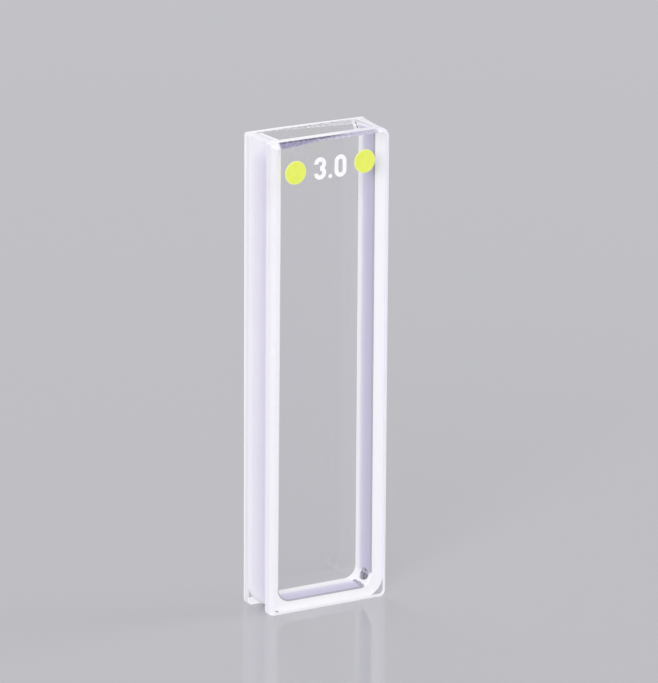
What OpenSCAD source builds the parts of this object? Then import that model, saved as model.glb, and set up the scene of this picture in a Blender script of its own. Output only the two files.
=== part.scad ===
// Cuvette: a cell that holds a liquid in a beam of light. Two clear polished windows are fused
// to a ground U-shaped frame, and the chamber between them is open at the top.
//
// Origin: the middle of the base, on the surface that the cell stands on. +Z is up, +X runs
// from side to side, and the front window, which carries the printed marks, faces -Y.

/* [Cell] */
// Width of the cell from side to side
cell_w = 12.5; // [11.5:0.5:15]
// Height of the cell from its base to the open top
cell_h = 45; // [30:1:60]

/* [Chamber] */
// Light path: the gap between the windows, which is how thick the frame is
light_path = 3; // [2:0.5:10]
// Width of each arm of the frame
arm_w = 1.25; // [1:0.05:2]
// Thickness of the frame under the chamber
base_t = 1.1; // [0.8:0.1:3]
// Rounding of the two bottom corners of the chamber
chamber_corner_r = 1.2; // [0.5:0.1:3]
// Rounding of the two bottom corners of the frame outside
frame_corner_r = 2.1; // [0.5:0.1:2.5]

/* [Windows] */
// Thickness of each window
window_t = 1.25; // [1:0.05:2]
// Chamfer ground along the edges of each window's outer face
edge_chamfer = 0.4; // [0.1:0.05:0.5]
// Rounding of the windows' corners, and of the frame's top left corner
corner_r = 0.45; // [0.1:0.05:1]
// Rounding of the front window's bottom right corner, which is ground rounder
bottom_right_r = 0.65; // [0.1:0.05:1]
// Rounding of the top right corner of the front window and of the frame, ground rounder still
top_right_r = 0.9; // [0.1:0.05:1.2]

/* [Printed marks] */
// Diameter of the two printed dots
dot_d = 2.2; // [1:0.05:3]
// Distance from each side of the cell to the centre of its dot, before the print's shift
dot_inset = 2.6; // [2:0.05:3]
// How much higher the right dot sits than the left one
dot_rise = 0.15; // [0:0.05:0.5]
// How far the whole print sits to the left of the middle
print_shift = 0.25; // [0:0.05:0.5]
// Distance from the top of the cell down to the middle of the marks
mark_drop = 2.85; // [2.5:0.05:6]
// Height of the printed figures
figure_h = 2.1; // [1.5:0.1:3]
// Width of the strokes of the figures
figure_stroke = 0.4; // [0.2:0.05:0.5]
// Space between one figure and the next
figure_gap = 0.25; // [0.1:0.05:0.4]
// Thickness of the fired enamel
enamel_t = 0.04; // [0.02:0.01:0.1]

/* [Hidden] */
$fn = 96;

chamber_w = cell_w - 2 * arm_w;
chamber_h = cell_h - base_t;
cell_d = light_path + 2 * window_t;
front_y = -cell_d / 2;
mark_z = cell_h - mark_drop;
figure_r = (figure_h + figure_stroke) / 4;
figure_x = figure_stroke / 2 + figure_gap + figure_r;
// How far a cutting shape runs past what it cuts
past = 1;

// An upright slab: the outline drawn in X and Z, with its front face at y and its back at y + t.
module upright(y, t) {
    translate([0, y + t, 0]) rotate([90, 0, 0]) linear_extrude(t) children();
}

// What a rounding takes off a square corner that has its point at the origin and its sides
// along +X and +Y.
module corner_waste(r) {
    difference() {
        translate([-past, -past]) square(r + past);
        translate([r, r]) circle(r);
    }
}

// Outline of a window seen from the front, with one rounding at its left corners and one for each
// of its right corners.
module window_outline(left_r, low_r, high_r) {
    difference() {
        translate([-cell_w / 2, 0]) square([cell_w, cell_h]);
        translate([-cell_w / 2, 0]) corner_waste(left_r);
        translate([-cell_w / 2, cell_h]) mirror([0, 1]) corner_waste(left_r);
        translate([cell_w / 2, 0]) mirror([1, 0]) corner_waste(low_r);
        translate([cell_w / 2, cell_h]) rotate(180) corner_waste(high_r);
    }
}

// Section across a window of the given length: the outer face is at the bottom, with a chamfer
// at each end of it.
module chamfered_section(length) {
    c = edge_chamfer;
    polygon([
        [-length / 2 + c, 0], [length / 2 - c, 0], [length / 2, c],
        [length / 2, window_t], [-length / 2, window_t], [-length / 2, c]
    ]);
}

// A window with its outer face at y = 0, facing -Y: the rounded outline, chamfered along all four edges.
module window(left_r, low_r, high_r) {
    intersection() {
        upright(0, window_t) window_outline(left_r, low_r, high_r);
        translate([0, 0, -past]) linear_extrude(cell_h + 2 * past) chamfered_section(cell_w);
        translate([-cell_w / 2 - past, 0, cell_h / 2]) rotate([90, 0, 90])
            linear_extrude(cell_w + 2 * past) rotate(90) mirror([0, 1]) chamfered_section(cell_h);
    }
}

// Outline of the chamber seen from the front: open at the top, rounded at its two bottom corners.
module chamber_outline() {
    difference() {
        translate([-chamber_w / 2, base_t]) square([chamber_w, chamber_h + past]);
        translate([-chamber_w / 2, base_t]) corner_waste(chamber_corner_r);
        translate([chamber_w / 2, base_t]) mirror([1, 0]) corner_waste(chamber_corner_r);
    }
}

// Outline of the frame: the width of the cell, rounded at its four corners, less the chamber.
module frame_outline() {
    difference() {
        translate([-cell_w / 2, 0]) square([cell_w, cell_h]);
        translate([-cell_w / 2, 0]) corner_waste(frame_corner_r);
        translate([cell_w / 2, 0]) mirror([1, 0]) corner_waste(frame_corner_r);
        translate([-cell_w / 2, cell_h]) mirror([0, 1]) corner_waste(corner_r);
        translate([cell_w / 2, cell_h]) rotate(180) corner_waste(top_right_r);
        chamber_outline();
    }
}

// A ring of the figures' stroke, with one quarter left out: the one towards +X and +Y.
module three_quarter_ring() {
    difference() {
        circle(figure_r);
        circle(figure_r - figure_stroke);
        square(figure_r + past);
    }
}

// The figure 3: two open rings, one above the other, which share the stroke in the middle.
module figure_three() {
    rise = figure_r - figure_stroke / 2;
    translate([0, rise]) rotate(180) three_quarter_ring();
    translate([0, -rise]) rotate(90) three_quarter_ring();
}

// A shape with straight sides and round ends, as wide as twice its radius.
module stadium(r, height) {
    straight = height - 2 * r;
    for (end = [-1, 1]) translate([0, end * straight / 2]) circle(r);
    translate([-r, -straight / 2]) square([2 * r, straight]);
}

// The figure 0.
module figure_nought() {
    difference() {
        stadium(figure_r, figure_h);
        stadium(figure_r - figure_stroke, figure_h - 2 * figure_stroke);
    }
}

// The point between the figures, on their base line.
module figure_point() {
    translate([0, (figure_stroke - figure_h) / 2]) circle(figure_stroke / 2);
}

// Clear polished plate in front of the chamber.
module front_window() {
    color([0.78, 0.80, 0.88, 0.35])
        translate([0, front_y, 0]) window(corner_r, bottom_right_r, top_right_r);
}

// Clear polished plate behind the chamber.
module back_window() {
    color([0.78, 0.80, 0.88, 0.35])
        translate([0, -front_y, 0]) mirror([0, 1, 0]) window(corner_r, corner_r, corner_r);
}

// Ground U-shaped frame between the windows.
module u_frame() {
    color([0.92, 0.91, 0.96])
        upright(front_y + window_t, light_path) frame_outline();
}

// Two dots of fired enamel on the front window.
module printed_dots() {
    color([0.90, 0.95, 0.37])
        upright(front_y - enamel_t, enamel_t)
            for (side = [-1, 1])
                translate([side * (cell_w / 2 - dot_inset) - print_shift, mark_z + side * dot_rise / 2])
                    circle(d = dot_d);
}

// The length of the light path in figures, between the dots.
module printed_number() {
    color([0.98, 0.98, 0.98])
        upright(front_y - enamel_t, enamel_t)
            translate([-print_shift, mark_z]) {
                translate([-figure_x, 0]) figure_three();
                figure_point();
                translate([figure_x, 0]) figure_nought();
            }
}

front_window();
back_window();
u_frame();
printed_dots();
printed_number();
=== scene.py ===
# %% [markdown]
# # A slim quartz cuvette
# A cuvette holds a few drops of liquid in a beam of light. This one is three pieces of fused quartz:
# a clear window in front, a clear window behind and a ground U-shaped frame between them. The
# chamber is the gap that the frame leaves, open at the top. Two enamel dots and a small number are
# fired onto the front window.
#
# The first cell loads the finished model. The pieces could be placed by eye, but its boxes say where
# each one goes, so everything below is placed from them. Lengths are in metres, and MM turns
# millimetres into metres.

# %% Load the model
import math

import bpy
from mathutils import Matrix, Vector


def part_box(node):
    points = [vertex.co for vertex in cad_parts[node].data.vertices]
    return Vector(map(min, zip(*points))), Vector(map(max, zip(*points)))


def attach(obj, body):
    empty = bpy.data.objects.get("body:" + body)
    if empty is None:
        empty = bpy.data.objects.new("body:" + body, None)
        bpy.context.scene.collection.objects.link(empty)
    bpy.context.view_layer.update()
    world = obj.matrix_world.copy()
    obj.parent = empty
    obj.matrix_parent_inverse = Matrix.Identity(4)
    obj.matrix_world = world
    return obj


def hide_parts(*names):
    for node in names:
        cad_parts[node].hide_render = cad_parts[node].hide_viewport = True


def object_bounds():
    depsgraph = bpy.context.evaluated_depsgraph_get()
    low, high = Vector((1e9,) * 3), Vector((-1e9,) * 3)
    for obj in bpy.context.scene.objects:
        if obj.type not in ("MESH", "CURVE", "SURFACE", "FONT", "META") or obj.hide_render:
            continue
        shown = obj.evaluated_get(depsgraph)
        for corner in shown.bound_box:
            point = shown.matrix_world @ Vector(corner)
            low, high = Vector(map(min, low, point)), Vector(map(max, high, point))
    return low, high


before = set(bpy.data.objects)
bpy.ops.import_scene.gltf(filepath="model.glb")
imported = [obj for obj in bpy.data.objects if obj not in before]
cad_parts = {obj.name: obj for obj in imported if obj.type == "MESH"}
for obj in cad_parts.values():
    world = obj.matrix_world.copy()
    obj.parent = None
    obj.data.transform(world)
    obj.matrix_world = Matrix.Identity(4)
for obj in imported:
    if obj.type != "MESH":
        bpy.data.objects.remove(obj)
CAD_BOX = [list(corner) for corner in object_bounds()]
MM = 0.001
print("nodes:", sorted(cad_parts))
print("box in mm:", [[round(v / MM, 2) for v in corner] for corner in CAD_BOX])

# %% [markdown]
# ## The camera
# A long lens from a little above and to the left shows the front window, the ground side and the open
# top at once. The camera could be turned by hand until it looks right. Here it is worked out from
# three angles and a distance, because then each number has a meaning: how far round, how high, how far
# out of level and how far away.

# %% Camera
TURN, HEIGHT_ANGLE, TILT = math.radians(-30.98), math.radians(16.26), math.radians(0.375)
DISTANCE = 639.3 * MM
LENS = 366.9
AIM_RIGHT, AIM_UP, AIM_FORWARD = 0.95 * MM, 2.44 * MM, 0.5 * MM


def shown(name, data):
    """A new object of the scene that shows this data."""
    made = bpy.data.objects.new(name, data)
    bpy.context.scene.collection.objects.link(made)
    return made


def camera_axes(turn, height, tilt):
    """The camera's right, up and backward directions."""
    level_part = math.cos(height)
    back = Vector((math.sin(turn) * level_part, -math.cos(turn) * level_part, math.sin(height)))
    level = Vector((0, 0, 1)).cross(back).normalized()
    upright = back.cross(level)
    right = level * math.cos(tilt) + upright * math.sin(tilt)
    return right, back.cross(right), back


right, up, back = camera_axes(TURN, HEIGHT_ANGLE, TILT)
low, high = (Vector(corner) for corner in CAD_BOX)
middle = Vector((0, -AIM_FORWARD, high.z / 2))
camera_data = bpy.data.cameras.new("camera")
camera_data.lens = LENS
camera_data.sensor_width = 36
camera_data.clip_start = 0.01
camera = shown("camera", camera_data)
camera.location = middle + right * AIM_RIGHT + up * AIM_UP + back * DISTANCE
camera.rotation_mode = "QUATERNION"
camera.rotation_quaternion = Matrix((right, up, back)).transposed().to_quaternion()
bpy.context.scene.camera = camera
print("camera at", [round(v, 4) for v in camera.location])

# %% [markdown]
# ## Sizes
# The same numbers serve several pieces, so they stand in one place. They could all be typed in, but a
# box gives the outer sizes and the gap between the windows, and those stay right if the model changes.
# Only what a box can't tell is written here: roundings, chamfers and how thick the frame is round the
# chamber.

# %% Sizes
WINDOW_BOX, FRAME_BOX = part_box("front_window"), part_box("u_frame")
CELL_W = high.x - low.x
CELL_H = high.z - low.z
WINDOW_T = WINDOW_BOX[1].y - WINDOW_BOX[0].y
PATH = FRAME_BOX[1].y - FRAME_BOX[0].y
# The frame: the width of an arm, and the height of the base as the ground floor shows it
ARM_W, BASE_T = 1.25 * MM, 1.15 * MM
# Roundings: of the chamber and the frame at their foot, and of the windows' corners
CHAMBER_R, FRAME_R = 1.2 * MM, 2.1 * MM
CORNER_R, BOTTOM_RIGHT_R, TOP_RIGHT_R = 0.48 * MM, 0.65 * MM, 0.9 * MM
CHAMFER = 0.4 * MM
# The frame stops this short of each window, and the floor lies this far under the cell, so that no
# two faces lie in one plane
JOINT_GAP = 0.01 * MM
print("window", round(WINDOW_T / MM, 2), "mm, light path", round(PATH / MM, 2), "mm")

# %% [markdown]
# ## One tree for every flat piece
# Windows, frame and figures are all cut from a flat sheet: an outline with rounded corners and a
# thickness. Each could be a cube cut with booleans, but a Geometry Nodes tree says it more plainly:
# round the corners of an outline, fill it, extrude it, stand it up. A corner's radius is stored on
# the corner itself, so that one outline can have tight and wide roundings. The filled outline is the
# back of the sheet, turned over, and the sides are sewn to it.

# %% Build the sheet tree
SEWN_WITHIN = 0.0001 * MM


def new_tree(name, inputs, output):
    """A Geometry Nodes tree with inputs of the given names and kinds, and one output of geometry."""
    tree = bpy.data.node_groups.new(name, "GeometryNodeTree")
    for label, kind in inputs.items():
        tree.interface.new_socket(label, in_out="INPUT", socket_type="NodeSocket" + kind)
    tree.interface.new_socket(output, in_out="OUTPUT", socket_type="NodeSocketGeometry")
    return tree, tree.links.new, tree.nodes.new("NodeGroupInput"), tree.nodes.new("NodeGroupOutput")


def feed(tree, entry, value):
    """Fills one input of a node: a socket is linked to it, and any other value is set on it."""
    if isinstance(value, bpy.types.NodeSocket):
        tree.links.new(value, entry)
    else:
        entry.default_value = value


def add_node(tree, kind, mode=None, **inputs):
    """A new node with its inputs filled by name."""
    node = tree.nodes.new(kind)
    if mode:
        node.mode = mode
    for name, value in inputs.items():
        feed(tree, node.inputs[name.replace("_", " ")], value)
    return node


def sheet_tree():
    """Outline in X and Y, rounded, filled, extruded and stood upright with its back face at Back."""
    inputs = {"Outline": "Geometry", "Thickness": "Float", "Back": "Float", "Steps": "Int",
              "Material": "Material"}
    tree, link, given, result = new_tree("cut from sheet", inputs, "Piece")

    curve = add_node(tree, "GeometryNodeMeshToCurve", Mesh=given.outputs["Outline"])
    radius = add_node(tree, "GeometryNodeInputNamedAttribute", Name="corner_radius")
    fillet = add_node(tree, "GeometryNodeFilletCurve", "POLY", Curve=curve.outputs["Curve"],
                      Count=given.outputs["Steps"], Radius=radius.outputs["Attribute"])
    fill = add_node(tree, "GeometryNodeFillCurve", "NGONS", Curve=fillet.outputs["Curve"])

    pull = add_node(tree, "GeometryNodeExtrudeMesh", Mesh=fill.outputs["Mesh"], Individual=False,
                    Offset_Scale=given.outputs["Thickness"])
    under = add_node(tree, "GeometryNodeFlipFaces", Mesh=fill.outputs["Mesh"])
    both = add_node(tree, "GeometryNodeJoinGeometry", Geometry=pull.outputs["Mesh"])
    link(under.outputs["Mesh"], both.inputs["Geometry"])
    sewn = add_node(tree, "GeometryNodeMergeByDistance", Geometry=both.outputs["Geometry"],
                    Distance=SEWN_WITHIN)

    place = add_node(tree, "ShaderNodeCombineXYZ", Y=given.outputs["Back"])
    stand = add_node(tree, "GeometryNodeTransform", Geometry=sewn.outputs["Geometry"],
                     Translation=place.outputs["Vector"], Rotation=(math.radians(90), 0, 0))
    paint = add_node(tree, "GeometryNodeSetMaterial", Geometry=stand.outputs["Geometry"],
                     Material=given.outputs["Material"])
    link(paint.outputs["Geometry"], result.inputs["Piece"])
    return tree


SHEET = sheet_tree()
print("tree:", SHEET.name, "with", len(SHEET.nodes), "nodes")

# %% [markdown]
# The tree's input is a loop of corners. The first helper turns lists of corners into such loops, and
# the next one runs the tree. The tree could stay live on the piece, but its result is kept as a plain
# mesh, because the steps after it look at single faces and edges.

# %% Outlines and pieces
def outline(name, *loops):
    """A mesh of closed loops. Each corner is (x, y, radius)."""
    corners = [corner for loop in loops for corner in loop]
    edges, first = [], 0
    for loop in loops:
        edges += [(first + i, first + (i + 1) % len(loop)) for i in range(len(loop))]
        first += len(loop)
    mesh = bpy.data.meshes.new(name)
    mesh.from_pydata([(x, y, 0) for x, y, _ in corners], edges, [])
    radius = mesh.attributes.new("corner_radius", "FLOAT", "POINT")
    radius.data.foreach_set("value", [r for _, _, r in corners])
    return mesh


def grown(tree, name, seed, **settings):
    """Runs a tree on a seed mesh and returns its result as a plain object at the origin."""
    holder = shown(name + "_seed", seed)
    modifier = holder.modifiers.new(tree.name, "NODES")
    modifier.node_group = tree
    sockets = {s.name: s.identifier for s in tree.interface.items_tree if s.in_out == "INPUT"}
    for label, value in settings.items():
        modifier[sockets[label]] = value
    ready = holder.evaluated_get(bpy.context.evaluated_depsgraph_get())
    mesh = bpy.data.meshes.new_from_object(ready)
    mesh.name = name
    bpy.data.objects.remove(holder)
    return shown(name, mesh)


def finishes(piece, *materials):
    """Gives the piece these materials, in this order. Clearing the list sets every face to the first."""
    piece.data.materials.clear()
    for made in materials:
        piece.data.materials.append(made)


def applied(piece):
    """The piece with its modifiers turned into mesh."""
    ready = piece.evaluated_get(bpy.context.evaluated_depsgraph_get())
    mesh = bpy.data.meshes.new_from_object(ready)
    piece.modifiers.clear()
    piece.data = mesh
    print(piece.name, "has", len(mesh.polygons), "faces")
    return piece


# %% [markdown]
# ## Materials
# Each finish is a short function, built from the few helpers below. A finish could be painted on an
# image, but the patterns of grinding and sawing are even and fine, and noise gives them without a
# seam. All of them read Object coordinates, so a pattern keeps its real size, and a plain number goes
# straight onto the shader.

# %% Helpers for materials
def material(name):
    """A new material with its tree, its Principled shader and a texture coordinate node."""
    made = bpy.data.materials.new(name)
    made.use_nodes = True
    tree = made.node_tree
    shader = next(node for node in tree.nodes if node.type == "BSDF_PRINCIPLED")
    where = tree.nodes.new("ShaderNodeTexCoord").outputs["Object"]
    return made, tree, shader, where


def noise(tree, where, size, stretch=(1, 1, 1), detail=2.0):
    """Noise whose patches are about size metres across, drawn out along an axis by stretch."""
    scale = tuple(1 / (size * s) for s in stretch)
    mapping = add_node(tree, "ShaderNodeMapping", Vector=where, Scale=scale)
    spots = add_node(tree, "ShaderNodeTexNoise", Vector=mapping.outputs["Vector"], Scale=1.0, Detail=detail)
    return spots.outputs["Fac"]


def ramp(tree, value, *stops):
    """Colours at places from 0 to 1."""
    node = add_node(tree, "ShaderNodeValToRGB", Fac=value)
    for i, (place, colour) in enumerate(stops):
        stop = node.color_ramp.elements[i] if i < 2 else node.color_ramp.elements.new(place)
        stop.position = place
        stop.color = (*colour, 1)
    return node.outputs["Color"]


def spread(tree, value, least, most):
    """Noise, whose values lie mostly between 0.3 and 0.7, turned into a number from least to most."""
    node = add_node(tree, "ShaderNodeMapRange", Value=value, From_Min=0.3, From_Max=0.7, To_Min=least,
                    To_Max=most)
    return node.outputs["Result"]


def fade(tree, value, start, end):
    """0 before start and 1 past end, with a soft change between. It falls where end is the smaller."""
    node = add_node(tree, "ShaderNodeMapRange", Value=value, From_Min=start, From_Max=end)
    node.interpolation_type = "SMOOTHSTEP"
    return node.outputs["Result"]


def mixed(tree, share, first, second):
    """One colour turning into another as share goes from 0 to 1."""
    node = add_node(tree, "ShaderNodeMix", Factor=share)
    node.data_type = "RGBA"
    # A Mix node keeps its inputs and output for colours after those for numbers and vectors
    for entry, colour in ((node.inputs[6], first), (node.inputs[7], second)):
        feed(tree, entry, (*colour, 1) if isinstance(colour, tuple) else colour)
    return node.outputs[2]


def maths(tree, operation, *values):
    """A Math node. A value is a socket or a number."""
    node = tree.nodes.new("ShaderNodeMath")
    node.operation = operation
    for entry, value in zip(node.inputs, values):
        feed(tree, entry, value)
    return node.outputs["Value"]


def axes(tree, where):
    """The three parts of a place."""
    node = add_node(tree, "ShaderNodeSeparateXYZ", Vector=where)
    return node.outputs["X"], node.outputs["Y"], node.outputs["Z"]


def bump(tree, shader, height, depth):
    """Relief of a given depth in metres."""
    node = add_node(tree, "ShaderNodeBump", Strength=1.0, Distance=depth, Height=height)
    tree.links.new(node.outputs["Normal"], shader.inputs["Normal"])


def blend(tree, share, first, second):
    """Two shaders mixed. The share is a number or a socket."""
    mix = add_node(tree, "ShaderNodeMixShader", Fac=share)
    tree.links.new(first, mix.inputs[1])
    tree.links.new(second, mix.inputs[2])
    return mix.outputs["Shader"]


def surface(tree, look):
    """Makes this shader the surface of the material."""
    end = next(node for node in tree.nodes if node.type == "OUTPUT_MATERIAL")
    tree.links.new(look, end.inputs["Surface"])


# %% [markdown]
# ### Polished quartz
# The windows are optically flat. Quartz bends light a little less than window glass, so its index of
# refraction is 1.458. A trace of roughness here and there is the haze that handling leaves. Plain
# glass would be enough for the look of the faces, but it throws a dark shadow and leaves bright specks
# on what is behind it. So lamps, and light on its way from matt faces, go straight through.

# %% Polished quartz
QUARTZ_IOR = 1.458
NEAR_WHITE = (0.98, 0.98, 0.98)


def lets_light_through(tree, shader, clear):
    """Rays to the lamps and rays that left a matt face pass the glass unbent, a little dimmed."""
    path = tree.nodes.new("ShaderNodeLightPath")
    either = maths(tree, "MAXIMUM", path.outputs["Is Shadow Ray"], path.outputs["Is Diffuse Ray"])
    through = add_node(tree, "ShaderNodeBsdfTransparent", Color=(*clear, 1))
    surface(tree, blend(tree, either, shader.outputs["BSDF"], through.outputs["BSDF"]))


def polished_quartz():
    made, tree, shader, where = material("polished quartz")
    shader.inputs["Base Color"].default_value = (0.99, 0.99, 0.995, 1)
    shader.inputs["Transmission Weight"].default_value = 1
    shader.inputs["IOR"].default_value = QUARTZ_IOR
    haze = noise(tree, where, 4 * MM, detail=3)
    tree.links.new(spread(tree, haze, 0.0, 0.02), shader.inputs["Roughness"])
    lets_light_through(tree, shader, NEAR_WHITE)
    return made


POLISHED = polished_quartz()
print(POLISHED.name)

# %% [markdown]
# ### Ground quartz
# Grinding leaves a surface of tiny pits that scatters light, so clear quartz turns white, and a little
# light still comes through it. It could be rough glass all through, but that takes many samples. A
# matt shader mixed with a little translucency looks the same with a few. Soft clouds and faint streaks
# along the height follow the grinding.
#
# Three finishes need nothing else: the ground chamfers, the broken edges and the foot. The broken edges are
# near white, a painted highlight. The foot, where the windows' lower edges stand in the light of the floor,
# is painted as pale, which stands in for the glow that the glass carries down to it.

# %% Ground quartz
# What part of a shadow is light after all: behind thick quartz, and behind a thin edge
THICK_PASSES, THIN_PASSES = 0.5, 0.85
ROUGH, ROUGHER = 0.5, 0.55
PIT_SIZE, PIT_DEPTH = 0.06 * MM, 0.004 * MM
STREAK_SIZE, CLOUD_SIZE = 0.45 * MM, 2.5 * MM


def translucent(tree, shader, colour, share, passes=THICK_PASSES):
    """Lets a share of the light through, and a part of what would fall as a shadow behind it."""
    inner = add_node(tree, "ShaderNodeBsdfTranslucent", Color=colour)
    glow = blend(tree, share, shader.outputs["BSDF"], inner.outputs["BSDF"])
    lit = tree.nodes.new("ShaderNodeLightPath").outputs["Is Shadow Ray"]
    clear = tree.nodes.new("ShaderNodeBsdfTransparent").outputs["BSDF"]
    surface(tree, blend(tree, maths(tree, "MULTIPLY", lit, passes), glow, clear))


def grain(tree, shader, where, roughness):
    """The pits of the grinding, as roughness and relief."""
    pits = noise(tree, where, PIT_SIZE, detail=3)
    tree.links.new(spread(tree, pits, roughness - 0.08, roughness + 0.08), shader.inputs["Roughness"])
    bump(tree, shader, pits, PIT_DEPTH)
    shader.inputs["IOR"].default_value = QUARTZ_IOR


def ground(tree, shader, where, colour, roughness, share, passes=THICK_PASSES):
    """The whole finish of a ground face of this colour."""
    tree.links.new(colour, shader.inputs["Base Color"])
    grain(tree, shader, where, roughness)
    translucent(tree, shader, colour, share, passes)


def uneven(tree, where, amount):
    """Streaks along the height and soft clouds, from -amount to amount."""
    streaks = noise(tree, where, STREAK_SIZE, stretch=(1, 1, 30), detail=3)
    clouds = noise(tree, where, CLOUD_SIZE, detail=2)
    return maths(tree, "MULTIPLY_ADD", maths(tree, "ADD", streaks, clouds), amount, -amount)


def clouded(tree, where, deep, pale):
    """A colour that wavers between two tones."""
    cloud = maths(tree, "ADD", uneven(tree, where, 0.8), 0.5)
    return ramp(tree, cloud, (0.0, deep), (1.0, pale))


def plain_ground(name, deep, pale, share, passes=THICK_PASSES):
    """Ground quartz of one colour, a little uneven."""
    made, tree, shader, where = material(name)
    ground(tree, shader, where, clouded(tree, where, deep, pale), ROUGH, share, passes)
    return made


GREY_WHITE, LILAC_WHITE = (0.91, 0.90, 0.93), (0.92, 0.91, 0.95)
EDGE = plain_ground("ground chamfer", (0.86, 0.85, 0.89), GREY_WHITE, 0.4, THIN_PASSES)
# The broken edges' near white is a painted highlight, and the foot's is painted glow
RIM_GLINT = plain_ground("broken edge", (0.96, 0.96, 0.97), NEAR_WHITE, 0.1)
FOOT = plain_ground("ground foot", (0.97, 0.97, 0.98), NEAR_WHITE, 0.6, THIN_PASSES)
print("ground finishes:", EDGE.name, "/", FOOT.name, "/", RIM_GLINT.name)

# %% [markdown]
# The sides have colours of their own. A window's side is pale lilac, with a white line beside the
# chamfer of the back window, a painted rim light. The frame's outside is palest beside the back window and
# more lilac and darker towards the front, painted shade, and both ends of its height are paler. Its faces
# at the joints show through the windows: white, a little greyer towards the outside, with a lilac border.
#
# Each colour could be a piece of its own, but a real side is one ground face. So its colour is worked
# out from the place: how far back, how far out or how high.

# %% Sides
RIM_LIGHT_START, RIM_LIGHT_END = 2.0 * MM, 2.12 * MM


def from_front(tree, depth):
    """Depth as a number: 0 at the front of the frame and 1 at its back."""
    return maths(tree, "MULTIPLY_ADD", depth, 1 / PATH, 0.5)


def window_side():
    made, tree, shader, where = material("ground window side")
    _, depth, _ = axes(tree, where)
    colour = clouded(tree, where, (0.85, 0.83, 0.89), LILAC_WHITE)
    # The white line beside the back chamfer is a painted rim light
    colour = mixed(tree, fade(tree, depth, RIM_LIGHT_START, RIM_LIGHT_END), colour, NEAR_WHITE)
    ground(tree, shader, where, colour, ROUGH, 0.3, THIN_PASSES)
    return made


def joint_face():
    made, tree, shader, where = material("fused joint")
    side, _, _ = axes(tree, where)
    outward = maths(tree, "ABSOLUTE", side)
    cloud = maths(tree, "MULTIPLY_ADD", uneven(tree, where, 0.3), MM, outward)
    colour = mixed(tree, fade(tree, cloud, 4.9 * MM, 6.2 * MM), NEAR_WHITE, GREY_WHITE)
    border = fade(tree, outward, CELL_W / 2 - 0.15 * MM, CELL_W / 2 - 0.1 * MM)
    colour = mixed(tree, border, colour, (0.74, 0.72, 0.81))
    ground(tree, shader, where, colour, ROUGH, 0.1)
    return made


def frame_side():
    made, tree, shader, where = material("ground frame side")
    _, depth, height = axes(tree, where)
    from_middle = maths(tree, "ABSOLUTE", maths(tree, "SUBTRACT", height, CELL_H / 2))
    near_end = fade(tree, from_middle, CELL_H / 2 - 2.4 * MM, CELL_H / 2 - 0.5 * MM)
    # Darker and more lilac towards the front: painted shade beside the front window
    place = maths(tree, "ADD", from_front(tree, depth), uneven(tree, where, 0.22))
    place = maths(tree, "MULTIPLY_ADD", near_end, 0.6, place)
    colour = ramp(tree, place, (0.0, (0.70, 0.67, 0.79)), (0.27, (0.76, 0.73, 0.84)),
                  (0.5, (0.81, 0.78, 0.89)), (0.7, (0.845, 0.825, 0.91)), (0.9, (0.90, 0.89, 0.95)))
    ground(tree, shader, where, colour, ROUGHER, 0.05)
    return made


WINDOW_SIDE, SIDE, JOINT = window_side(), frame_side(), joint_face()
print(WINDOW_SIDE.name, "/", SIDE.name, "/", JOINT.name)

# %% [markdown]
# Inside the chamber the wall is white where it meets the back window and lilac grey in front: a painted
# fall from light at the back to shade by the front window. The rounded corner at the right has a small
# clear patch where the fusing went deeper, dark streaks on the floor beside it and a short seam. Near the
# top the wall is pale, with two small dark chips. The broken edge round the chamber in front is a grey lip,
# which the corner's patch turns white.
#
# Small marks like these could be loose pieces laid on the wall, but they are flat, so each is a mask:
# how far a place is from a centre, in its own radii, with noise to make it ragged.

# %% Marks
FACET_SIZE = 0.34 * MM


def blotch(tree, where, centre, radii, ragged=0.3):
    """1 inside an uneven oval and 0 outside. Centre and radii are in mm."""
    centre, radii = (tuple(v * MM for v in part) for part in (centre, radii))
    mapping = add_node(tree, "ShaderNodeMapping", Vector=where, Location=centre, Scale=radii)
    mapping.vector_type = "TEXTURE"
    length = tree.nodes.new("ShaderNodeVectorMath")
    length.operation = "LENGTH"
    tree.links.new(mapping.outputs["Vector"], length.inputs[0])
    rough = noise(tree, where, 0.25 * MM, detail=3)
    distance = maths(tree, "MULTIPLY_ADD", rough, ragged, length.outputs["Value"])
    return fade(tree, distance, 1.1 + ragged / 2, 0.85 + ragged / 2)


def facets(tree, where):
    """The clear patch: small flat facets, some light and some dark."""
    mapping = add_node(tree, "ShaderNodeMapping", Vector=where, Scale=(1 / FACET_SIZE,) * 3)
    cells = add_node(tree, "ShaderNodeTexVoronoi", Vector=mapping.outputs["Vector"], Scale=1.0,
                     Randomness=0.8)
    shade, _, _ = axes(tree, cells.outputs["Color"])
    return ramp(tree, shade, (0.2, (0.04, 0.04, 0.06)), (0.5, (0.18, 0.17, 0.22)),
                (0.85, (0.50, 0.48, 0.56)))


# %% Chamber wall
# Each mark is its centre and its radii, in mm
WHITE_PATCH = (4.75, -0.25, 1.45), (0.62, 1.6, 0.85)
CLEAR_PATCH = (4.92, -0.45, 1.72), (0.4, 0.78, 0.8)
STREAKS = [
    ((4.2, 0.15, 1.2), (0.17, 0.35, 0.2)), ((4.15, -0.5, 1.25), (0.19, 0.5, 0.2)),
    ((4.05, -1.1, 1.25), (0.17, 0.4, 0.2)), ((4.93, -0.85, 1.65), (0.3, 0.07, 0.3)),
]
CHIPS = [((4.65, 0.88, height), (0.6, 0.12, 0.14)) for height in (44.48, 44.85)]
LIP_PATCH = (4.9, -1.45, 1.4), (0.75, 0.6, 0.95)


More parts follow.
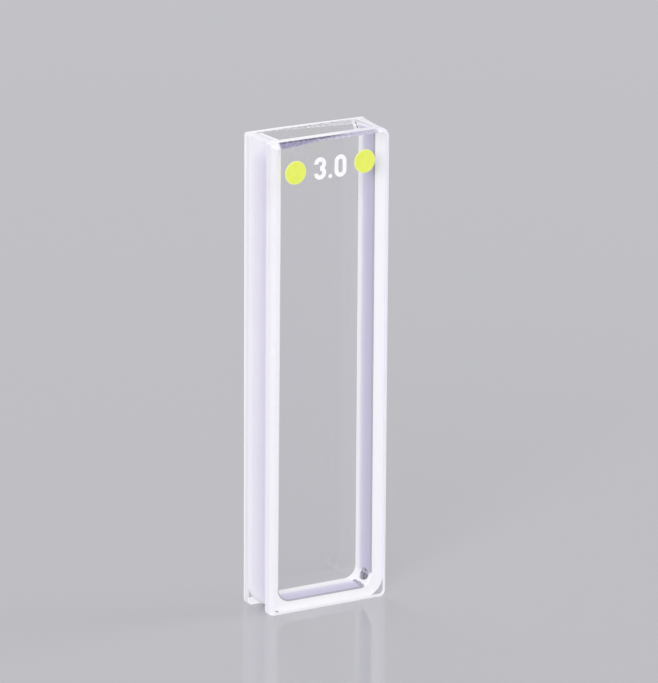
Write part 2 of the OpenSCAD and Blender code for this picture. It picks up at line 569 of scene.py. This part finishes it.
def chamber_wall():
    made, tree, shader, where = material("ground chamber wall")
    _, depth, height = axes(tree, where)
    # From the back to the front the wall is painted from light to shade
    place = maths(tree, "ADD", from_front(tree, depth), uneven(tree, where, 0.08))
    near_floor = fade(tree, height, 2.0 * MM, 1.3 * MM)
    place = maths(tree, "MULTIPLY_ADD", near_floor, 0.1, place)
    colour = ramp(tree, place, (0.0, (0.56, 0.54, 0.69)), (0.25, (0.58, 0.56, 0.71)),
                  (0.5, (0.65, 0.63, 0.77)), (0.65, (0.74, 0.72, 0.83)), (0.78, (0.93, 0.92, 0.97)),
                  (0.86, NEAR_WHITE))
    colour = mixed(tree, blotch(tree, where, *WHITE_PATCH), colour, (0.96, 0.96, 0.98))
    colour = mixed(tree, blotch(tree, where, *CLEAR_PATCH, 0.35), colour, facets(tree, where))
    for mark in STREAKS:
        colour = mixed(tree, blotch(tree, where, *mark), colour, (0.34, 0.33, 0.39))
    near_top = fade(tree, height, CELL_H - 0.3 * MM, CELL_H - 0.2 * MM)
    colour = mixed(tree, near_top, colour, LILAC_WHITE)
    for mark in CHIPS:
        colour = mixed(tree, blotch(tree, where, *mark, 0.4), colour, (0.24, 0.23, 0.28))
    ground(tree, shader, where, colour, ROUGHER, 0.05)
    return made


def inner_lip():
    """The broken edge between the chamber and the front window: grey, and white beside the patch."""
    made, tree, shader, where = material("inner lip")
    corner = blotch(tree, where, *LIP_PATCH)
    colour = mixed(tree, corner, (0.41, 0.40, 0.46), (0.95, 0.95, 0.97))
    ground(tree, shader, where, colour, ROUGH, 0.05)
    return made


CHAMBER_WALL, LIP = chamber_wall(), inner_lip()
print(CHAMBER_WALL.name, "and", LIP.name)

# %% [markdown]
# ### The open top
# The windows' tops were sawn and then ground. The flat top is white, and in front it turns lilac
# towards the right. The chamfer below it kept the saw's marks: a dark ragged line along its upper edge,
# and mauve to lilac below. Both windows are the same plate, so one function makes both tops. The back
# one is paler and worn along its inner edge. The tops of the frame's arms are plain, with a thin rim
# beside the opening: white at the left, a painted highlight, and grey at the right.
#
# The saw's marks could be cut into the mesh, but they are finer than its faces. So noise makes the
# border of the dark line ragged, and a little relief makes the chamfer catch the light unevenly.

# %% Sawn tops
def sawn_top(name, flat, line, line_end, left, right, worn=0):
    """The top of a window. Lengths are in mm. Flat, left and right are each a pair of tones."""
    made, tree, shader, where = material(name)
    side, depth, height = axes(tree, where)
    ragged = noise(tree, where, 0.35 * MM, stretch=(2.5, 1, 1), detail=4)
    chips = noise(tree, where, 0.14 * MM, stretch=(1.8, 1, 1), detail=3)

    # How far a place is below the top, in mm. A worn inner edge counts as below it
    drop = maths(tree, "MULTIPLY_ADD", height, -1 / MM, CELL_H / MM)
    inner = fade(tree, maths(tree, "ABSOLUTE", depth), PATH / 2 + worn * MM, PATH / 2 + (worn - 0.1) * MM)
    drop = maths(tree, "MULTIPLY_ADD", inner, 0.05 if worn else 0, drop)

    # The chamfer: its tones from left to right, the dark line, and a plain end at each side
    tones = [ramp(tree, chips, (0.35, deep), (0.65, pale)) for deep, pale in (left, right)]
    slope = mixed(tree, fade(tree, side, -4.0 * MM, 1.0 * MM), *tones)
    saw = fade(tree, maths(tree, "MULTIPLY_ADD", ragged, -0.16, drop), 0.1, 0.0)
    saw = maths(tree, "MULTIPLY", saw, fade(tree, side, line_end * MM, (line_end - 4) * MM))
    slope = mixed(tree, saw, slope, ramp(tree, chips, (0.4, line), (0.7, left[1])))
    outside = maths(tree, "ABSOLUTE", maths(tree, "ADD", side, 0.3 * MM))
    slope = mixed(tree, fade(tree, outside, 5.0 * MM, 5.3 * MM), slope, (0.90, 0.89, 0.94))

    flat_top = mixed(tree, fade(tree, side, 0.5 * MM, 2.5 * MM), *flat)
    colour = mixed(tree, fade(tree, drop, 0.0, 0.03), flat_top, slope)
    tree.links.new(colour, shader.inputs["Base Color"])
    tree.links.new(spread(tree, chips, 0.45, 0.6), shader.inputs["Roughness"])
    bump(tree, shader, chips, 0.01 * MM)
    translucent(tree, shader, colour, 0.1)
    return made


TOP_WHITE, TOP_LILAC = (0.97, 0.97, 0.98), (0.84, 0.83, 0.91)
FRONT_TOP = sawn_top("sawn top, front", flat=(TOP_WHITE, TOP_LILAC), line=(0.09, 0.08, 0.13), line_end=3.0,
                     left=((0.22, 0.20, 0.32), (0.41, 0.38, 0.53)),
                     right=((0.44, 0.42, 0.53), (0.66, 0.64, 0.76)))
BACK_TOP = sawn_top("sawn top, back", flat=(TOP_WHITE, TOP_WHITE), line=(0.42, 0.41, 0.45), line_end=6.0,
                    left=((0.62, 0.61, 0.66), (0.84, 0.83, 0.87)),
                    right=((0.74, 0.73, 0.77), (0.96, 0.95, 0.97)), worn=0.35)
print(FRONT_TOP.name, "/", BACK_TOP.name)

# %% Arm tops
def arm_top():
    """Over the frame's arms: lilac in uneven patches, paler near the opening, with a thin rim beside it,
    white at the left as a painted highlight.
    """
    made, tree, shader, where = material("ground arm top")
    side, _, _ = axes(tree, where)
    out = maths(tree, "MULTIPLY_ADD", maths(tree, "ABSOLUTE", side), 1 / MM, (ARM_W - CELL_W / 2) / MM)
    lilac_patches = ramp(tree, noise(tree, where, 0.5 * MM, detail=3), (0.3, (0.78, 0.76, 0.84)),
                  (0.6, (0.89, 0.88, 0.93)))
    # The rim's white at the left is a painted highlight
    rim = mixed(tree, fade(tree, side, -1 * MM, 1 * MM), NEAR_WHITE, (0.66, 0.64, 0.70))
    colour = mixed(tree, fade(tree, out, 0.32, 0.2), lilac_patches, NEAR_WHITE)
    colour = mixed(tree, fade(tree, out, 0.12, 0.06), colour, rim)
    ground(tree, shader, where, colour, ROUGH, 0.05)
    return made


ARM_TOP = arm_top()
print(ARM_TOP.name)

# %% [markdown]
# ### Enamel
# The marks are glass paint fired onto the window: opaque, a little glossy, with the small unevenness
# of a screen print. They could be colours on the window's own face, but the paint has a thickness that
# shows at its edge, so each mark is a thin piece of its own. The yellow is paler round its rim.

# %% Enamel
def enamel(name, deep, light, rim=None):
    """Fired enamel. Where rim is a colour, an attribute of that name says where it shows."""
    made, tree, shader, where = material(name)
    patches = noise(tree, where, 0.5 * MM, detail=3)
    colour = ramp(tree, patches, (0.35, deep), (0.65, light))
    if rim:
        edge = tree.nodes.new("ShaderNodeAttribute")
        edge.attribute_name = "rim"
        colour = mixed(tree, edge.outputs["Fac"], colour, rim)
    tree.links.new(colour, shader.inputs["Base Color"])
    peel = noise(tree, where, 0.12 * MM)
    tree.links.new(spread(tree, peel, 0.32, 0.45), shader.inputs["Roughness"])
    bump(tree, shader, peel, 0.004 * MM)
    return made


YELLOW = enamel("yellow enamel", (0.76, 0.83, 0.11), (0.79, 0.86, 0.125), (0.86, 0.90, 0.30))
WHITE = enamel("white enamel", (0.90, 0.90, 0.90), (0.97, 0.97, 0.97))
print(YELLOW.name, "and", WHITE.name)

# %% [markdown]
# ## The windows
# Each window is a plate with rounded corners. The edges of its outer face are ground to a wide chamfer,
# and every other edge is only broken, so that it shows as a thin line, painted near white as a highlight.
# The chamfers could be cut off with wedges, but a Bevel modifier follows the rounded corners by itself,
# and bevel weights say which edges it takes.
#
# The chamfer along the top was ground by hand and widens towards one end: the left in front and the
# right behind, because the back window is the same plate turned round. No modifier does that, so the
# points along it are moved.

# %% Widths and finishes of a window
BROKEN, SHARP = 0.08 * MM, 0.02 * MM
BROKEN_FROM = math.radians(25)
# For the front (-1) and the back (1): where the chamfer begins to widen, its least width, and how much
# it widens over a length of one
TOP_CHAMFER = {-1: (-1.3 * MM, 0.225 * MM, 0.06), 1: (-2.5 * MM, 0.235 * MM, 0.045)}
# That width fades out over this height, down to this far below the top
FADE_H, FADED_BELOW = 0.9 * MM, 1.305 * MM
# Two places closer than this are taken to be the same
TINY = 0.01 * MM
WINDOW_STEPS = 8
FINISH = {"polished": 0, "side": 1, "chamfer": 2, "top": 3, "foot": 4, "rim": 5}
# How much of a face's normal points a certain way, from a little to all of it
LEANING, SLOPING, FACING, FLAT_ON = 0.2, 0.3, 0.8, 0.999
print("broken edges", round(BROKEN / MM, 2), "mm, chamfers", round(CHAMFER / MM, 2), "mm")

# %% Helpers for edges
def cell_corners(left_r, bottom_right_r, top_right_r, kink):
    """The corners of a window's outline, anticlockwise, with a point on the top edge at kink."""
    half = CELL_W / 2
    return [
        (-half, 0, left_r), (half, 0, bottom_right_r), (half, CELL_H, top_right_r), (kink, CELL_H, 0),
        (-half, CELL_H, left_r),
    ]


def weigh_edges(piece, weight_of):
    """Stores the bevel weight of every edge, from the places of its two ends."""
    mesh = piece.data
    name = "bevel_weight_edge"
    weights = mesh.attributes.get(name) or mesh.attributes.new(name, "FLOAT", "EDGE")
    ends = [[mesh.vertices[v].co for v in edge.vertices] for edge in mesh.edges]
    weights.data.foreach_set("value", [float(weight_of(*pair)) for pair in ends])


def bevelled(piece, width, **settings):
    """The piece with a bevel applied, which is flat unless the settings say otherwise."""
    bevel = piece.modifiers.new("bevel", "BEVEL")
    bevel.width, bevel.segments = width, 1
    for name, value in settings.items():
        setattr(bevel, name, value)
    return applied(piece)


# %% Grind the tops and name the faces
def grind_top(piece, outer, outward):
    """Gives the chamfer along the top its own width. Round the corners it goes back to the plain one."""
    kink, least, rate = TOP_CHAMFER[outward]
    for vertex in piece.data.vertices:
        place = vertex.co
        near_top = min(max((place.z - CELL_H + FADED_BELOW) / FADE_H, 0), 1)
        narrower = near_top * (CHAMFER - least - rate * max(outward * (place.x - kink), 0))
        if abs(place.y - outer) < TINY:
            place.z += narrower
        elif outward > 0 and abs(place.y - outer + CHAMFER) < TINY:
            place.y += narrower
            if abs(place.x) > CELL_W / 2 - CORNER_R - TINY and near_top == 1:
                # Behind, the top corners are ground sharper, to half the rounding
                place.x += (math.copysign(CELL_W / 2, place.x) - place.x) / 2
                place.z += (CELL_H - place.z) / 2


def window_finish(face):
    """Which finish a face of a window has, from the way it faces."""
    flat, level = abs(face.normal.y), face.normal.z
    if flat > FLAT_ON:
        return FINISH["polished"]
    if abs(level) > SLOPING:
        return FINISH["top"] if level > 0 else FINISH["foot"]
    return FINISH["chamfer"] if flat > SLOPING else FINISH["side"]


def rim_finish(face, outward):
    """Which finish a broken edge has. Most look like their neighbour, and upright outer ones get the
    painted white highlight.
    """
    flat, level = face.normal.y * outward, face.normal.z
    if abs(level) > LEANING:
        return FINISH["top"] if level > 0 else FINISH["foot"]
    if flat < -SLOPING:
        return FINISH["side"]
    if flat > FACING or (outward < 0 and face.normal.x < -FACING):
        return FINISH["chamfer"]
    return FINISH["rim"]


def keep_sharp(piece, inner):
    """Narrows the broken edge beside the opening."""
    for vertex in piece.data.vertices:
        place = vertex.co
        if abs(place.x) > CELL_W / 2 - CORNER_R + TINY or place.z < CELL_H - BROKEN - TINY:
            continue
        if abs(place.y - inner) < TINY:
            place.z = CELL_H - SHARP
        elif abs(place.y - inner) < BROKEN + TINY:
            place.y = inner + math.copysign(SHARP, place.y - inner)


# %% Cut the two windows
def window(name, node, corners, outward, top):
    """A window in its CAD node's place. outward is the sign of Y on its outer face."""
    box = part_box(node)
    piece = grown(SHEET, name, outline(name, corners), Thickness=WINDOW_T, Back=box[1].y,
                  Steps=WINDOW_STEPS, Material=POLISHED)
    finishes(piece, POLISHED, WINDOW_SIDE, EDGE, top, FOOT, RIM_GLINT)
    outer, inner = (box[0].y, box[1].y) if outward < 0 else (box[1].y, box[0].y)

    weigh_edges(piece, lambda a, b: max(abs(a.y - outer), abs(b.y - outer)) < TINY)
    bevelled(piece, CHAMFER, limit_method="WEIGHT")
    grind_top(piece, outer, outward)
    for face in piece.data.polygons:
        face.material_index = window_finish(face)
    bevelled(piece, BROKEN, limit_method="ANGLE", angle_limit=BROKEN_FROM, material=FINISH["rim"])
    keep_sharp(piece, inner)
    for face in piece.data.polygons:
        face.use_smooth = False
        if face.material_index == FINISH["rim"]:
            face.material_index = rim_finish(face, outward)
        elif outward < 0 and face.material_index == FINISH["chamfer"] and face.normal.x > SLOPING:
            # In front, the chamfer on the right gets the broken edges' white, a painted rim light
            face.material_index = FINISH["rim"]
    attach(piece, "root")
    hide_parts(node)


front_corners = cell_corners(CORNER_R, BOTTOM_RIGHT_R, TOP_RIGHT_R, TOP_CHAMFER[-1][0])
back_corners = cell_corners(CORNER_R, CORNER_R, CORNER_R, TOP_CHAMFER[1][0])
window("window_front", "front_window", front_corners, -1, FRONT_TOP)
window("window_back", "back_window", back_corners, 1, BACK_TOP)

# %% [markdown]
# ## The frame
# The frame is one ground piece with two arms and a base. It could be three bars, but then a seam would
# show where there is none, so it is the same kind of sheet as a window, cut to a U. Going round its
# outline once, the corners at the foot have wide roundings, outside and inside. At the top only the
# outer corners are rounded. The edge round the chamber in front has a narrow lip, which looks darker
# than the faces on both sides of it.

# %% Outline of the frame
LIP_W, EDGE_W = 0.14 * MM, 0.03 * MM
FACET_W, FACET_H = 0.5 * MM, 1.3 * MM
FRAME_STEPS = 16
PART = {"side": 0, "wall": 1, "joint": 2, "top": 3, "rim": 4, "lip": 5}


def frame_corners():
    """The U, anticlockwise from the bottom left."""
    half, inner = CELL_W / 2, CELL_W / 2 - ARM_W
    return [
        (-half, 0, FRAME_R), (half, 0, FRAME_R), (half, CELL_H, TOP_RIGHT_R), (inner, CELL_H, 0),
        (inner, CELL_H - FACET_H, 0), (inner, BASE_T, CHAMBER_R), (-inner, BASE_T, CHAMBER_R),
        (-inner, CELL_H, 0), (-half, CELL_H, CORNER_R),
    ]


def in_chamber(place, margin=TINY):
    """True on the chamber's wall and floor, and within a margin of them."""
    return abs(place.x) < CELL_W / 2 - ARM_W + margin and place.z > BASE_T - margin


ground_frame = grown(SHEET, "ground_frame", outline("frame", frame_corners()), Steps=FRAME_STEPS,
                     Material=SIDE, Thickness=PATH - 2 * JOINT_GAP, Back=FRAME_BOX[1].y - JOINT_GAP)
finishes(ground_frame, SIDE, CHAMBER_WALL, JOINT, ARM_TOP, RIM_GLINT, LIP)
print(ground_frame.name, "has", len(ground_frame.data.polygons), "faces before its edges are broken")

# %% [markdown]
# The faces get their finishes before the bevel, from where they are and which way they face. The bevel
# then marks its own new faces as rim, and those are sorted once more. Last, the points that were ground
# by hand are moved: both arms are a little wider in front than behind, and the right one has a small
# facet at its back top.

# %% Finish the frame
# How much of the normal of a joint's face, and of a face of the lip, points to the front or the back
JOINT_FACING, LIP_LEAST, LIP_MOST = 0.9, 0.3, 0.99
LIP_START, LIP_LOW = -4.9 * MM, 3 * MM
LEFT_EXTRA, RIGHT_EXTRA = 0.12 * MM, 0.15 * MM


def frame_part(face):
    """Which finish a face has, before the edges are broken."""
    if abs(face.normal.y) > JOINT_FACING:
        return PART["joint"]
    if face.center.z > CELL_H - TOP_RIGHT_R and face.normal.z > SLOPING:
        return PART["top"]
    return PART["wall"] if in_chamber(face.center) else PART["side"]


def edge_part(face):
    """Which finish a broken edge has. The lip is grey, save for the upright on the left, which gets the
    painted white highlight.
    """
    place = face.center
    if abs(place.x) > CELL_W / 2 - 2 * EDGE_W:
        return PART["side"]
    on_lip = in_chamber(place, LIP_W) and LIP_LEAST < abs(face.normal.y) < LIP_MOST
    return PART["lip"] if on_lip and (place.x > LIP_START or place.z < LIP_LOW) else PART["rim"]


def lip_weight(a, b):
    """A full weight on the front edges round the chamber, and a small one on the others."""
    along = abs(a.y - b.y) < TINY
    if along and a.y < 0 and in_chamber(a) and in_chamber(b):
        return 1
    return EDGE_W / LIP_W if along or (min(a.z, b.z) > CELL_H - TINY and in_chamber(a)) else 0


def grind_frame(piece):
    """Moves the points that were ground by hand."""
    half, inner = CELL_W / 2, CELL_W / 2 - ARM_W
    for vertex in piece.data.vertices:
        place = vertex.co
        if not in_chamber(place, 1.1 * LIP_W):
            # Behind, the top right corner is as tight as the back window's
            if place.y > 0 and min(place.x - half, place.z - CELL_H) > -TOP_RIGHT_R - EDGE_W - TINY:
                place.x = half - (half - place.x) * CORNER_R / TOP_RIGHT_R
                place.z = CELL_H - (CELL_H - place.z) * CORNER_R / TOP_RIGHT_R
        elif place.x < 0:
            if place.y < 0 and place.z > CELL_H / 2:
                place.x += LEFT_EXTRA
        elif place.y < 0:
            # Down the rounded corner the extra width fades out
            place.x -= RIGHT_EXTRA * min(max((place.x - inner) / CHAMBER_R + 1, 0), 1)
        elif place.z > CELL_H - FACET_H / 2:
            place.x -= FACET_W


for face in ground_frame.data.polygons:
    face.material_index = frame_part(face)
weigh_edges(ground_frame, lip_weight)
bevelled(ground_frame, LIP_W, limit_method="WEIGHT", material=PART["rim"])
for face in ground_frame.data.polygons:
    if face.material_index == PART["rim"]:
        face.material_index = edge_part(face)
grind_frame(ground_frame)
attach(ground_frame, "root")
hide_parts("u_frame")

# %% [markdown]
# ## The figures
# The figures say how long the light path is, in millimetres. They could be typed in a font, but strokes
# of one width need only arcs. An arc here is a list of corners with no rounding of their own, and the
# same tree fills and extrudes them. Each figure reaches a hair into the window, so that no gap shows.

# %% Figures
FIGURE_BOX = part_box("printed_number")
FIGURE_H = FIGURE_BOX[1].z - FIGURE_BOX[0].z
MARK_X, MARK_Z = (FIGURE_BOX[0].x + FIGURE_BOX[1].x) / 2, (FIGURE_BOX[0].z + FIGURE_BOX[1].z) / 2
STROKE = 0.4 * MM
ENAMEL_T = FIGURE_BOX[1].y - FIGURE_BOX[0].y
SUNK = 0.005 * MM
SOFT_EDGE = 0.015 * MM
OUTER_R = (FIGURE_H + STROKE) / 4
INNER_R = OUTER_R - STROKE


def arc(x, y, radius, start, end, steps=24):
    """Points from one angle to another, in degrees."""
    angles = [math.radians(start + (end - start) * i / steps) for i in range(steps + 1)]
    return [(x + radius * math.cos(a), y + radius * math.sin(a), 0) for a in angles]


def figure_three(x):
    rise = OUTER_R - STROKE / 2
    meet = math.degrees(math.asin(rise / OUTER_R))
    return [
        arc(x, MARK_Z - rise, OUTER_R, -180, meet)
        + arc(x, MARK_Z + rise, OUTER_R, -meet, 180)[1:]
        + arc(x, MARK_Z + rise, INNER_R, 180, -90)
        + arc(x, MARK_Z - rise, INNER_R, 90, -180)
    ]


def figure_nought(x):
    straight = FIGURE_H / 2 - OUTER_R
    return [
        arc(x, MARK_Z - straight, r, -180, 0) + arc(x, MARK_Z + straight, r, 0, 180)
        for r in (OUTER_R, INNER_R)
    ]


def figure_point(x):
    return [arc(x, MARK_Z - (FIGURE_H - STROKE) / 2, STROKE / 2, 0, 360)[:-1]]


reach = (FIGURE_BOX[1].x - FIGURE_BOX[0].x) / 2 - OUTER_R
figures = figure_three(MARK_X - reach) + figure_point(MARK_X) + figure_nought(MARK_X + reach)
enamel_figures = grown(SHEET, "enamel_figures", outline("figures", *figures), Steps=1, Material=WHITE,
                       Thickness=ENAMEL_T + SUNK, Back=FIGURE_BOX[1].y + SUNK)
bevelled(enamel_figures, SOFT_EDGE, segments=2, limit_method="ANGLE", angle_limit=math.radians(50))
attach(enamel_figures, "root")
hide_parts("printed_number")

# %% [markdown]
# ## The dots
# Wet enamel draws itself into a low button that is thickest just inside its edge. A bevelled disc would
# have a flat crown, so the button is a few rings of points, each with its own height. A second small
# tree sets one button at each end of a line.

# %% One button of enamel
DOT_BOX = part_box("printed_dots")
DOT_R = 1.1 * MM
INWARD = Vector((DOT_R, 0, DOT_R))
FIRST_DOT, LAST_DOT = DOT_BOX[0] + INWARD, DOT_BOX[1] - INWARD
# The rings from the rim inwards, and the middle: share of the radius and share of the thickness
PROFILE = [(1.0, 0.0), (1.0, 0.35), (0.985, 0.75), (0.955, 0.96), (0.90, 1.0), (0.80, 0.9), (0.5, 0.82)]
MIDDLE_T = 0.8
RIM_FROM = 0.93


def button(name, radius, thickness, around=64):
    """A low round button, its flat back at y = 0 and its crown towards -Y."""
    angles = [2 * math.pi * i / around for i in range(around)]
    turns = [(math.cos(angle), math.sin(angle)) for angle in angles]
    points = [(radius * r * x, -thickness * h, radius * r * z) for r, h in PROFILE for x, z in turns]
    points += [(0, -thickness * MIDDLE_T, 0), (0, 0, 0)]
    crown, base = len(points) - 2, len(points) - 1
    faces = []
    for i in range(around):
        j = (i + 1) % around
        for ring in range(len(PROFILE) - 1):
            a, b = ring * around, (ring + 1) * around
            faces.append((a + i, a + j, b + j, b + i))
        last = (len(PROFILE) - 1) * around
        faces.append((last + i, last + j, crown))
        faces.append((j, i, base))
    mesh = bpy.data.meshes.new(name)
    mesh.from_pydata(points, [], faces)
    mesh.shade_smooth()
    rim = mesh.attributes.new("rim", "FLOAT", "POINT")
    rim.data.foreach_set("value", [float(math.hypot(x, z) > RIM_FROM * radius) for x, _, z in points])
    return mesh


BUTTON = button("button", DOT_R, ENAMEL_T + SUNK)
print("button", round(2 * DOT_R / MM, 2), "mm across,", len(BUTTON.polygons), "faces")

# %% A pair of buttons
def pair_tree():
    """Two copies of the input mesh: one at Place, and one further on by Spread."""
    inputs = {"Button": "Geometry", "Spread": "Vector", "Place": "Vector", "Material": "Material"}
    tree, link, given, result = new_tree("pair of dots", inputs, "Dots")
    line = add_node(tree, "GeometryNodeMeshLine", Count=2, Start_Location=given.outputs["Place"],
                    Offset=given.outputs["Spread"])
    copies = add_node(tree, "GeometryNodeInstanceOnPoints", Points=line.outputs["Mesh"],
                      Instance=given.outputs["Button"])
    real = add_node(tree, "GeometryNodeRealizeInstances", Geometry=copies.outputs["Instances"])
    paint = add_node(tree, "GeometryNodeSetMaterial", Geometry=real.outputs["Geometry"],
                     Material=given.outputs["Material"])
    link(paint.outputs["Geometry"], result.inputs["Dots"])
    return tree


step = LAST_DOT - FIRST_DOT
enamel_dots = grown(pair_tree(), "enamel_dots", BUTTON, Spread=(step.x, 0, step.z), Material=YELLOW,
                    Place=(FIRST_DOT.x, DOT_BOX[1].y + SUNK, FIRST_DOT.z))
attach(enamel_dots, "root")
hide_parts("printed_dots")
print(enamel_dots.name, "has", len(enamel_dots.data.polygons), "faces")

# %% [markdown]
# ## Floor and light
# White ground quartz only shows beside something darker, so the floor is a light grey with a slight
# polish, in which the cell's foot shows. A white floor would light the cell better, and both can be
# had: the Light Path node tells a matt bounce from the rays that see the floor itself, so the light
# that the floor gives back to the cell is that of a white card.

# %% Floor
SEEN_GREY, CARD_WHITE = (0.47, 0.47, 0.49), (0.85, 0.85, 0.86)
# In metres
HALF_FLOOR = 3.0


def floor_material():
    made, tree, shader, _ = material("pale floor")
    bounce = tree.nodes.new("ShaderNodeLightPath").outputs["Is Diffuse Ray"]
    tree.links.new(mixed(tree, bounce, SEEN_GREY, CARD_WHITE), shader.inputs["Base Color"])
    shader.inputs["Roughness"].default_value = 0.08
    return made


floor_mesh = bpy.data.meshes.new("floor")
corners = ((-1, -1), (1, -1), (1, 1), (-1, 1))
points = [(HALF_FLOOR * x, HALF_FLOOR * y, -JOINT_GAP) for x, y in corners]
floor_mesh.from_pydata(points, [], [(0, 1, 2, 3)])
floor_mesh.materials.append(floor_material())
floor = shown("floor", floor_mesh)
print(floor.name, 2 * HALF_FLOOR, "m across")

# %% [markdown]
# The light is that of a white tent. One strong lamp would leave the far side of the cell dark, so most
# of the light is sky, in which all ground faces look alike, and three soft lamps at a low level give
# the shape its shading. The key lamp stands to the left of the front, where it reaches the front, the
# left side and, through the window, the chamber's far wall.

# %% Lamps
# Each lamp: its name, its place and size in metres, and its level
LAMPS = [
    ("key", (-0.62, -0.62, 0.4), 0.5, 0.48),
    ("right", (0.75, -0.2, 0.35), 0.4, 0.25),
    ("back", (0.1, 0.75, 0.4), 0.4, 0.2),
]
SKY_COLOUR, SKY_LEVEL = (0.93, 0.93, 0.96, 1), 0.72


def softbox(name, place, size, level):
    """A square lamp aimed at the cell. Level is what it adds to a white face turned to it."""
    data = bpy.data.lights.new(name, "AREA")
    away = Vector(place) - middle
    data.shape, data.size, data.energy = "SQUARE", size, level * math.pi ** 2 * away.length_squared
    lamp = shown(name, data)
    lamp.location = place
    lamp.rotation_mode = "QUATERNION"
    lamp.rotation_quaternion = away.to_track_quat("Z", "Y")
    lamp.visible_camera = False
    print(name, round(data.energy, 2), "W")


for lamp in LAMPS:
    softbox(*lamp)
world = bpy.data.worlds.new("studio")
world.use_nodes = True
sky = next(node for node in world.node_tree.nodes if node.type == "BACKGROUND")
sky.inputs["Color"].default_value = SKY_COLOUR
sky.inputs["Strength"].default_value = SKY_LEVEL
bpy.context.scene.world = world
bpy.context.scene.view_settings.view_transform = "Standard"
print(len(LAMPS), "lamps and a soft sky")
